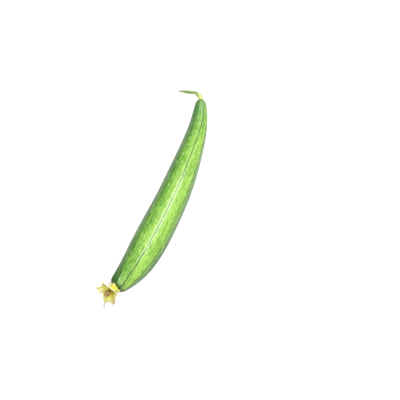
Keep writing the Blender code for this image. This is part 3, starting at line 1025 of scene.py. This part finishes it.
def make_leaf():
    """A small leaf rolled lengthwise on the stem's end, with its free edge winding along it."""
    stem = bpy.context.scene.gourd_stem
    path = stem_path()
    step = 0.01
    direction = (path(1.0) - path(1.0 - step)).normalized()
    start = path(1.0) - LEAF_ROOT_DEPTH * direction
    spine = route([tuple(start + Vector(point)) for point in LEAF_ROUTE])
    points = []
    blade = []
    for i in range(LEAF_RINGS):
        place = i / (LEAF_RINGS - 1)
        along = (spine(min(1.0, place + step)) - spine(max(0.0, place - step))).normalized()
        across = along.cross(Vector((0, 0, 1))).normalized()
        up = across.cross(along)
        share = leaf_share(place)
        for j in range(LEAF_SIDES):
            around = j / LEAF_SIDES
            turn = 2 * pi * (around + LEAF_TURNS_OF_EDGE * place) + LEAF_FIRST_TURN
            reach = leaf_reach(place, around) * share
            wide = stem.leaf_thickness * reach * cos(turn)
            high = stem.leaf_width * reach * sin(turn)
            wobble = LEAF_WOBBLE * place * noise.noise(Vector((place * 7, around * 2, 3)))
            points.append(spine(place) + (wide + wobble) * across + high * up)
            blade.append((place, around, 0.0))
    points += [spine(0.0), spine(1.0)]
    blade += [(0.0, 0.5, 0.0), (1.0, 0.5, 0.0)]
    faces = loft_faces(LEAF_RINGS, LEAF_SIDES)
    item = add_mesh("stem_leaf_roll", points, faces, leaf_material(stem), blade=blade)
    face_outwards(item)
    finish_piece(item, "stem_leaf")


def face_outwards(item):
    """Point the faces of a closed mesh outwards."""
    builder = bmesh.new()
    builder.from_mesh(item.data)
    bmesh.ops.recalc_face_normals(builder, faces=builder.faces)
    builder.to_mesh(item.data)
    builder.free()


CALYX_SIDES = 200
CALYX_RINGS_CUP = 8
CALYX_RINGS_UNDER = 26
CALYX_RINGS_OVER = 26
CALYX_CURL = 0.0030
CALYX_RIPPLE = 0.0007


def from_lobe(turn):
    """0 on the middle of a calyx lobe, -1 and 1 halfway to the lobes beside it."""
    half = pi / LOBE_COUNT
    return ((turn + half) % (2 * half) - half) / half


def lobe_share(turn):
    """1 on the middle of a calyx lobe, 0 halfway between two lobes."""
    return max(0.0, cos(from_lobe(turn) * pi / 2)) ** LOBE_SHARPNESS


def calyx_point(turn, share, over, reach):
    """A point of the calyx: share 0 at the cup and 1 at the rim, over or under the lobe."""
    lobe = lobe_share(turn)
    rim = LOBE_RADIUS + reach * lobe
    if over:
        radius = CALYX_FACE_RADIUS + (rim - CALYX_FACE_RADIUS) * share
        rise = (CALYX_HEIGHT - LOBE_BOTTOM - LOBE_THICKNESS) * (1 - share) ** 2
        height = LOBE_BOTTOM + LOBE_THICKNESS + rise
    else:
        radius = CALYX_NECK_RADIUS + (rim - CALYX_NECK_RADIUS) * share
        height = CALYX_NECK_HEIGHT + (LOBE_BOTTOM - CALYX_NECK_HEIGHT) * smooth_step(0, 0.4, share)
    out = max(0.0, radius - LOBE_RADIUS) / reach
    height -= LOBE_DROOP * out**2
    curl = noise.noise(Vector((cos(turn) * 2.2, sin(turn) * 2.2, 1.0)))
    ripple = noise.noise(Vector((cos(turn) * 7, sin(turn) * 7, out * 2)))
    height += CALYX_CURL * curl * out**2 + CALYX_RIPPLE * ripple * min(1.0, out * 3)
    return Vector((radius * cos(turn), radius * sin(turn), height))


def make_calyx():
    """Cup, underside of the lobes, top of the lobes, and the face that the petals stand on."""
    flower = bpy.context.scene.gourd_flower
    matrix = flower_matrix()
    rings = []
    for i in range(CALYX_RINGS_CUP):
        share = i / (CALYX_RINGS_CUP - 1)
        radius = CALYX_BASE_RADIUS + (CALYX_NECK_RADIUS - CALYX_BASE_RADIUS) * smooth_step(0, 1, share)
        height = -ROOT_DEPTH + (CALYX_NECK_HEIGHT + ROOT_DEPTH) * share
        rings.append((lambda turn, r=radius, h=height: Vector((r * cos(turn), r * sin(turn), h)), 0.0))
    for i in range(1, CALYX_RINGS_UNDER):
        share = i / (CALYX_RINGS_UNDER - 1)
        rings.append((lambda turn, s=share: calyx_point(turn, s, False, flower.lobe_reach), share))
    for i in range(CALYX_RINGS_OVER):
        share = 1 - i / (CALYX_RINGS_OVER - 1)
        rings.append((lambda turn, s=share: calyx_point(turn, s, True, flower.lobe_reach), share))
    points = []
    blade = []
    for place_at, share in rings:
        for j in range(CALYX_SIDES):
            turn = 2 * pi * j / CALYX_SIDES
            points.append(matrix @ place_at(turn))
            blade.append((share * lobe_share(turn), abs(from_lobe(turn)), 0.0))
    points += [matrix @ Vector((0, 0, -ROOT_DEPTH)), matrix @ Vector((0, 0, CALYX_HEIGHT))]
    blade += [(0.0, 0.0, 0.0), (0.0, 0.0, 0.0)]
    faces = loft_faces(len(rings), CALYX_SIDES)
    item = add_mesh("calyx_cup", points, faces, calyx_material(flower), blade=blade)
    face_outwards(item)
    finish_piece(item, "calyx")


PETAL_ROWS = 64
PETAL_COLUMNS = 56
PETAL_ROUNDING = 0.16
PETAL_RAGGEDNESS = 0.16
PETAL_NARROWING = 0.35
PLEATS_ACROSS = 2.6
PLEAT_WANDER = 0.9
CRUMPLE_SIZE = 0.0075
FINE_CRUMPLE_SIZE = 0.0026
TAIL_PLEAT_SHARE = 0.35
TAIL_CRUMPLE_SHARE = 0.4


def petal_line(length, leans, steps=80):
    """Height, radius and lean along the middle of a petal, at even steps."""
    lean_at = spline(((0.0, leans[0]), (0.5, leans[1]), (1.0, leans[2])))
    heights = [PETAL_START_HEIGHT]
    radii = [PETAL_START_RADIUS]
    tilts = [radians(leans[0])]
    for i in range(steps):
        lean = radians(lean_at(i / steps)[0])
        heights.append(heights[-1] + length / steps * cos(lean))
        radii.append(radii[-1] + length / steps * sin(lean))
        tilts.append(lean)
    places = [i / steps for i in range(steps + 1)]
    return lambda place: [float(np.interp(place, places, row)) for row in (heights, radii, tilts)]


def petal_half_angle(place, shrivelled):
    if shrivelled:
        left = 1 - smooth_step(TAIL_STARTS, TAIL_THIN, place)
        return radians(TAIL_HALF_ANGLE + (PETAL_HALF_ANGLE - TAIL_HALF_ANGLE) * left)
    return radians(PETAL_HALF_ANGLE * (1 - PETAL_NARROWING * place**3))


def petal_grid(number, flower):
    """Points of one crumpled petal in the flower's frame, and the place, across and fold of each."""
    length, *leans = PETALS[number - 1]
    line = petal_line(length, leans)
    shrivelled = number == SHRIVELLED_PETAL
    middle_turn = radians(FIRST_PETAL_TURN + 360 / len(PETALS) * (number - 1))
    points = []
    blade = []
    swirl = radians(PETAL_SWIRL * (1 if number % 2 else -1))
    for i in range(PETAL_ROWS):
        row = i / (PETAL_ROWS - 1)
        for j in range(PETAL_COLUMNS):
            across = 2 * j / (PETAL_COLUMNS - 1) - 1
            ragged = noise.fractal(Vector((across * 2.6, number * 7.3, 0.5)), 0.7, 2.2, 4)
            place = row * (1 - PETAL_ROUNDING * across**2 + PETAL_RAGGEDNESS * ragged)
            height, radius, lean = line(min(1.0, max(0.0, place)))
            spill = max(0.0, place - 1) * length
            height += spill * cos(lean)
            radius += spill * sin(lean)
            wander = PLEAT_WANDER * noise.noise(Vector((place * 3, number, 2)))
            fold = sin(pi * (PLEATS_ACROSS * across + wander + number)) * place**0.7

            offset = flower.pleat_depth * fold * (TAIL_PLEAT_SHARE if shrivelled else 1.0)
            height -= offset * sin(lean)
            radius += offset * cos(lean)
            turn = middle_turn + petal_half_angle(place, shrivelled) * across + swirl * place**2
            point = Vector((radius * cos(turn), radius * sin(turn), height))
            loose = place**0.8 * (TAIL_CRUMPLE_SHARE if shrivelled else 1.0)
            large = noise.noise_vector(point / CRUMPLE_SIZE + Vector((0, 0, number * 5)))
            small = noise.noise_vector(point / FINE_CRUMPLE_SIZE + Vector((number * 3, 0, 0)))
            point += flower.crumple * loose * (large + 0.30 * small)
            points.append(point)
            blade.append((place, across, fold))
    return points, blade


def make_petals():
    """Five thin crumpled petals; the shrivelled one ends in a hanging tail."""
    flower = bpy.context.scene.gourd_flower
    finish = petal_material(flower)
    matrix = flower_matrix()
    noise.seed_set(CRUMPLE_SEED)
    for number in range(1, len(PETALS) + 1):
        points, blade = petal_grid(number, flower)
        points = [matrix @ point for point in points]
        wither = [0.9 if number == SHRIVELLED_PETAL else 0.15 + 0.1 * (number % 3)] * len(points)
        faces = sheet_faces(PETAL_ROWS, PETAL_COLUMNS)
        name = f"petal_{number}_blade"
        item = add_mesh(name, points, faces, finish, blade=blade, wither=wither)
        wall = item.modifiers.new("wall", "SOLIDIFY")
        wall.thickness = flower.petal_thickness
        wall.offset = 0.0
        make_plain(item)
        face_outwards(item)
        finish_piece(item, f"petal_{number}")


PISTIL_RINGS = 110
PISTIL_SIDES = 120
PISTIL_ROOT_DEPTH = 0.0005
PISTIL_CAP_STARTS = 0.97
PISTIL_TIP_SHARE = 0.03
LUMP_SIZE = 0.0016
WART_SIZE = 0.0005


def pistil_radius(place):
    """Thin style, then a rounded head of stigmas."""
    if place < STYLE_SHARE:
        return STYLE_RADIUS
    head = (place - STYLE_SHARE) / (1 - STYLE_SHARE)
    return STYLE_RADIUS + (STIGMA_RADIUS - STYLE_RADIUS) * max(0.0, sin(pi * head**0.8)) ** 0.7


def pistil_cap(place):
    """Share of the radius that is left on the rounded top."""
    rise = max(0.0, place - PISTIL_CAP_STARTS) / (1 - PISTIL_CAP_STARTS)
    return PISTIL_TIP_SHARE + (1 - PISTIL_TIP_SHARE) * sqrt(max(0.0, 1 - rise**2))


def make_pistil():
    """Style and three joined stigmas, shrunken and warty."""
    flower = bpy.context.scene.gourd_flower
    matrix = flower_matrix()
    bottom = CALYX_HEIGHT - PISTIL_ROOT_DEPTH
    points = []
    for i in range(PISTIL_RINGS):
        place = i / (PISTIL_RINGS - 1)
        height = bottom + (PISTIL_TOP - bottom) * place
        radius = pistil_radius(place) * pistil_cap(place)
        notch = STIGMA_DEPTH * (radius - STYLE_RADIUS) / (STIGMA_RADIUS - STYLE_RADIUS)
        for j in range(PISTIL_SIDES):
            turn = 2 * pi * j / PISTIL_SIDES
            reach = radius * (1 - max(0.0, notch) * (1 - cos(STIGMA_COUNT * turn + place * 2)) / 2)
            point = Vector((reach * cos(turn), reach * sin(turn), height))
            out = Vector((cos(turn), sin(turn), 0))
            lump = noise.noise(point / LUMP_SIZE)
            wart = abs(noise.noise(point / WART_SIZE))
            point += out * radius * (0.16 * lump + 0.08 * wart)
            points.append(matrix @ point)
    points += [matrix @ Vector((0, 0, bottom)), matrix @ Vector((0, 0, PISTIL_TOP))]
    faces = loft_faces(PISTIL_RINGS, PISTIL_SIDES)
    item = add_mesh("pistil_head", points, faces, pistil_material(flower))
    face_outwards(item)
    finish_piece(item, "pistil")


def make_light(name, way, size, power):
    """A rectangular light that faces the lit middle, with its width along the fruit."""
    lamp = bpy.data.lights.new(name, "AREA")
    lamp.shape = "RECTANGLE"
    lamp.size, lamp.size_y = size
    lamp.energy = power
    place = LIT_MIDDLE + LIGHT_DISTANCE * way
    back = way.normalized()
    along = (Vector((1, 0, 0)) - back.x * back).normalized()
    turned = Matrix((along, back.cross(along), back)).transposed()
    link(name, lamp).matrix_world = Matrix.Translation(place) @ turned.to_4x4()


def make_floor(studio):
    half = studio.floor_size / 2
    corners = [(x, y, -FLOOR_DROP) for x, y in ((-half, -half), (half, -half), (half, half), (-half, half))]
    floor_item = add_mesh("floor", corners, [(0, 1, 2, 3)], floor_material(studio))


def make_world(studio):
    """White room: full white to the camera, softer as a light."""
    world = bpy.data.worlds.new("white_room")
    world.use_nodes = True
    tree = world.node_tree
    background = tree.nodes["Background"]
    background.inputs["Color"].default_value = (1.0, 1.0, 1.0, 1.0)
    seen = Field(tree, add_node(tree, "ShaderNodeLightPath").outputs["Is Camera Ray"])
    strength = seen.ramp(0.0, 1.0, studio.surroundings, 1.0)
    tree.links.new(strength.socket, background.inputs["Strength"])
    bpy.context.scene.world = world


def make_camera():
    lens = bpy.data.cameras.new("camera")
    lens.sensor_width = SENSOR_WIDTH
    lens.lens = CAMERA_LENS
    lens.clip_start = 0.01
    item = link("camera", lens)
    item.location = CAMERA_PLACE - OUTLINE_MIDDLE
    item.rotation_euler = (CAMERA_AIM - CAMERA_PLACE).to_track_quat("-Z", "Y").to_euler()
    bpy.context.scene.camera = item


def make_studio():
    studio = bpy.context.scene.gourd_studio
    bpy.context.scene.view_settings.view_transform = "Standard"
    make_floor(studio)
    make_world(studio)
    make_light("key", KEY_WAY, KEY_SIZE, studio.key_power)
    make_light("fill", FILL_WAY, FILL_SIZE, studio.fill_power)

    make_camera()


class GOURD_OT_fruit(Operator):
    """Sweep the ribbed skin of the fruit"""

    bl_idname = "gourd.make_fruit"
    bl_label = "Fruit"

    def execute(self, context):
        make_fruit()
        return {"FINISHED"}


class GOURD_OT_stem(Operator):
    """Sweep the bent stem"""

    bl_idname = "gourd.make_stem"
    bl_label = "Stem"

    def execute(self, context):
        make_stem()
        return {"FINISHED"}


class GOURD_OT_leaf(Operator):
    """Roll the small leaf on the stem's end"""

    bl_idname = "gourd.make_leaf"
    bl_label = "Rolled Leaf"

    def execute(self, context):
        make_leaf()
        return {"FINISHED"}


class GOURD_OT_calyx(Operator):
    """Shape the calyx cup and its lobes"""

    bl_idname = "gourd.make_calyx"
    bl_label = "Calyx"

    def execute(self, context):
        make_calyx()
        return {"FINISHED"}


class GOURD_OT_petals(Operator):
    """Crumple the five withered petals"""

    bl_idname = "gourd.make_petals"
    bl_label = "Petals"

    def execute(self, context):
        make_petals()
        return {"FINISHED"}


class GOURD_OT_pistil(Operator):
    """Shape the withered pistil"""

    bl_idname = "gourd.make_pistil"
    bl_label = "Pistil"

    def execute(self, context):
        make_pistil()
        return {"FINISHED"}


class GOURD_OT_studio(Operator):
    """Set up the floor, the soft light and the camera"""

    bl_idname = "gourd.make_studio"
    bl_label = "Studio"

    def execute(self, context):
        make_studio()
        return {"FINISHED"}


OPERATORS = (
    GOURD_OT_studio,
    GOURD_OT_fruit,
    GOURD_OT_stem,
    GOURD_OT_leaf,
    GOURD_OT_calyx,
    GOURD_OT_petals,
    GOURD_OT_pistil,
)
SETTINGS = {
    "gourd_fruit": GourdFruitSettings,
    "gourd_stem": GourdStemSettings,
    "gourd_flower": GourdFlowerSettings,
    "gourd_studio": GourdStudioSettings,
}


class GOURD_PT_panel(Panel):
    """Sizes, colours and a button for each piece"""

    bl_idname = "GOURD_PT_panel"
    bl_label = "Sponge Gourd"
    bl_space_type = "VIEW_3D"
    bl_region_type = "UI"
    bl_category = "Gourd"

    def draw(self, context):
        for operator in OPERATORS:
            self.layout.operator(operator.bl_idname)
        for name, group in SETTINGS.items():
            box = self.layout.box()
            for setting in group.__annotations__:
                box.prop(getattr(context.scene, name), setting)


def register():
    for group in SETTINGS.values():
        bpy.utils.register_class(group)
    for name, group in SETTINGS.items():
        setattr(bpy.types.Scene, name, PointerProperty(type=group))
    for operator in OPERATORS:
        bpy.utils.register_class(operator)
    bpy.utils.register_class(GOURD_PT_panel)


def unregister():
    bpy.utils.unregister_class(GOURD_PT_panel)
    for operator in reversed(OPERATORS):
        bpy.utils.unregister_class(operator)
    for name, group in SETTINGS.items():
        delattr(bpy.types.Scene, name)
        bpy.utils.unregister_class(group)


def main():
    register()
    for operator in OPERATORS:
        _, name = operator.bl_idname.split(".")
        getattr(bpy.ops.gourd, name)()
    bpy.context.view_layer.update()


if __name__ == "__main__":
    main()
